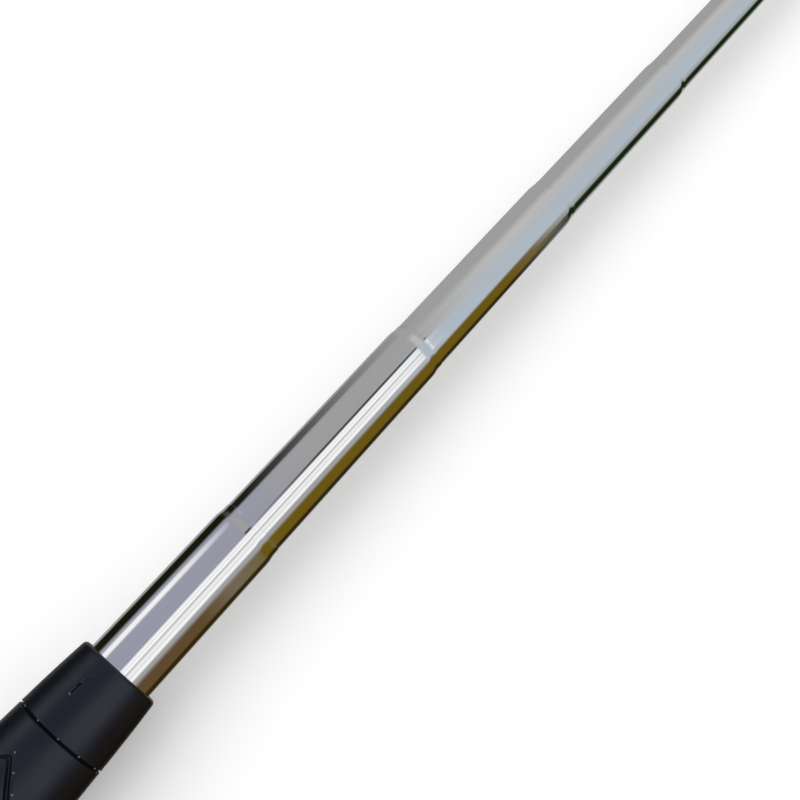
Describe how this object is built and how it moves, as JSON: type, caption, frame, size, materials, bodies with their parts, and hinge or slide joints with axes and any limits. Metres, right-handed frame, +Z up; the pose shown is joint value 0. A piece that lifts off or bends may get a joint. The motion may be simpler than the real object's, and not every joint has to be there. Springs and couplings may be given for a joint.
{
  "type": "golf ball retriever",
  "caption": "Telescopic golf ball retriever: moulded rubber golf grip, nested polished tubes with necked joints, and a slotted ball scoop with a one-way sprung gate.",
  "frame": {"origin": "centre of the butt end face, on the shaft's axis", "axes": "+X along the shaft from butt to head, +Z up when the retriever lies on a floor on its scoop's flat foot"},
  "size_m": [0.7419, 0.054, 0.0633],
  "materials": {
    "tube_chrome": "mirror polished",
    "sleeve_bronze": "satin spring bronze",
    "grip_rubber": "moulded matte rubber with a faint blue cast",
    "cap_rubber": "smooth moulded hard rubber",
    "tape": "creped paper tape",
    "buffer_rubber": "moulded rubber",
    "insert_brass": "turned",
    "plated_steel": "zinc plated",
    "spring_steel": "drawn wire",
    "scoop_plastic": "moulded, semi-gloss",
    "gate_plastic": "moulded, fine grain"
  },
  "bodies": {
    "base": {"butt_cap": "cap_rubber", "grip_sleeve": "grip_rubber", "grip_tape": "tape", "tube_buffer": "buffer_rubber", "base_tube": "tube_chrome"},
    "section_2": {"shaft_tube_2": "tube_chrome", "friction_sleeve_2": "sleeve_bronze"},
    "section_3": {"shaft_tube_3": "tube_chrome", "friction_sleeve_3": "sleeve_bronze"},
    "section_4": {"shaft_tube_4": "tube_chrome", "friction_sleeve_4": "sleeve_bronze"},
    "section_5": {"shaft_tube_5": "tube_chrome", "friction_sleeve_5": "sleeve_bronze"},
    "section_6": {"shaft_tube_6": "tube_chrome", "friction_sleeve_6": "sleeve_bronze"},
    "section_7": {"shaft_tube_7": "tube_chrome", "friction_sleeve_7": "sleeve_bronze", "tip_insert": "insert_brass", "head_stud": "plated_steel", "jam_nut": "plated_steel", "scoop_cup": "scoop_plastic", "mouth_ring": "scoop_plastic", "ring_screws": "plated_steel", "gate_pin": "plated_steel", "pin_clip": "spring_steel", "gate_spring": "spring_steel"},
    "gate": {"gate_flap": "gate_plastic"}
  },
  "joints": [
    {"name": "slide_2", "type": "slide", "parent": "base", "child": "section_2", "axis": [1, 0, 0], "range_m": [-0.052, 0.2]},
    {"name": "slide_3", "type": "slide", "parent": "section_2", "child": "section_3", "axis": [1, 0, 0], "range_m": [-0.052, 0.2]},
    {"name": "slide_4", "type": "slide", "parent": "section_3", "child": "section_4", "axis": [1, 0, 0], "range_m": [-0.052, 0.2]},
    {"name": "slide_5", "type": "slide", "parent": "section_4", "child": "section_5", "axis": [1, 0, 0], "range_m": [-0.052, 0.2]},
    {"name": "slide_6", "type": "slide", "parent": "section_5", "child": "section_6", "axis": [1, 0, 0], "range_m": [-0.052, 0.2]},
    {"name": "slide_7", "type": "slide", "parent": "section_6", "child": "section_7", "axis": [1, 0, 0], "range_m": [-0.052, 0.2]},
    {"name": "gate_hinge", "type": "hinge", "parent": "section_7", "child": "gate", "pos_m": [0.73694, 0, 0.04], "axis": [0, 1, 0], "range_deg": [0, 85], "stiffness_Nm_per_rad": 0.003, "springref_deg": -28.65, "deforming": ["gate_spring"]}
  ]
}
